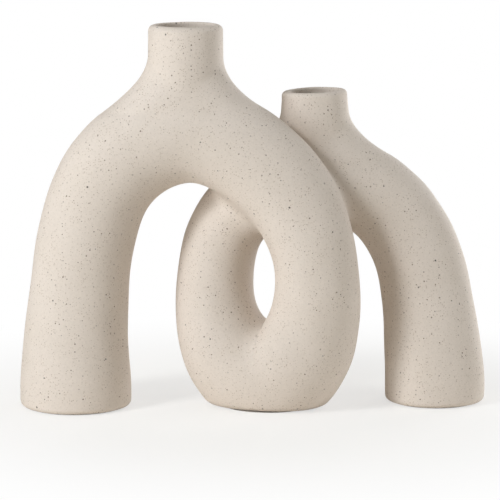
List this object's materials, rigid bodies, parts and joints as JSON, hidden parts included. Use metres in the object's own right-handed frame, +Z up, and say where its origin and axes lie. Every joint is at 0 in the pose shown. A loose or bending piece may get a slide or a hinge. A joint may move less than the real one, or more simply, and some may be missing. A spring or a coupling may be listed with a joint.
{
  "type": "ceramic vase",
  "caption": "Double-necked loop vase: one hollow stoneware tube arches into a loop and a second arch, with a straight neck on each crown.",
  "frame": {"origin": "middle of the loop's foot on the table", "axes": "+X to the viewer's right along the vase, +Y to the back, +Z up"},
  "size_m": [0.3038, 0.0981, 0.249],
  "materials": {
    "stoneware": "matte speckled bisque, unglazed outside",
    "lining_glaze": "thin clear-gloss liner glaze",
    "felt": "pressed wool felt"
  },
  "bodies": {
    "root": {"large_arch": "stoneware", "large_neck": "stoneware", "small_arch": "stoneware", "small_neck": "stoneware", "large_glaze_lining": "lining_glaze", "small_glaze_lining": "lining_glaze", "left_foot_pad": "felt", "loop_foot_pad": "felt", "right_foot_pad": "felt"}
  },
  "joints": []
}
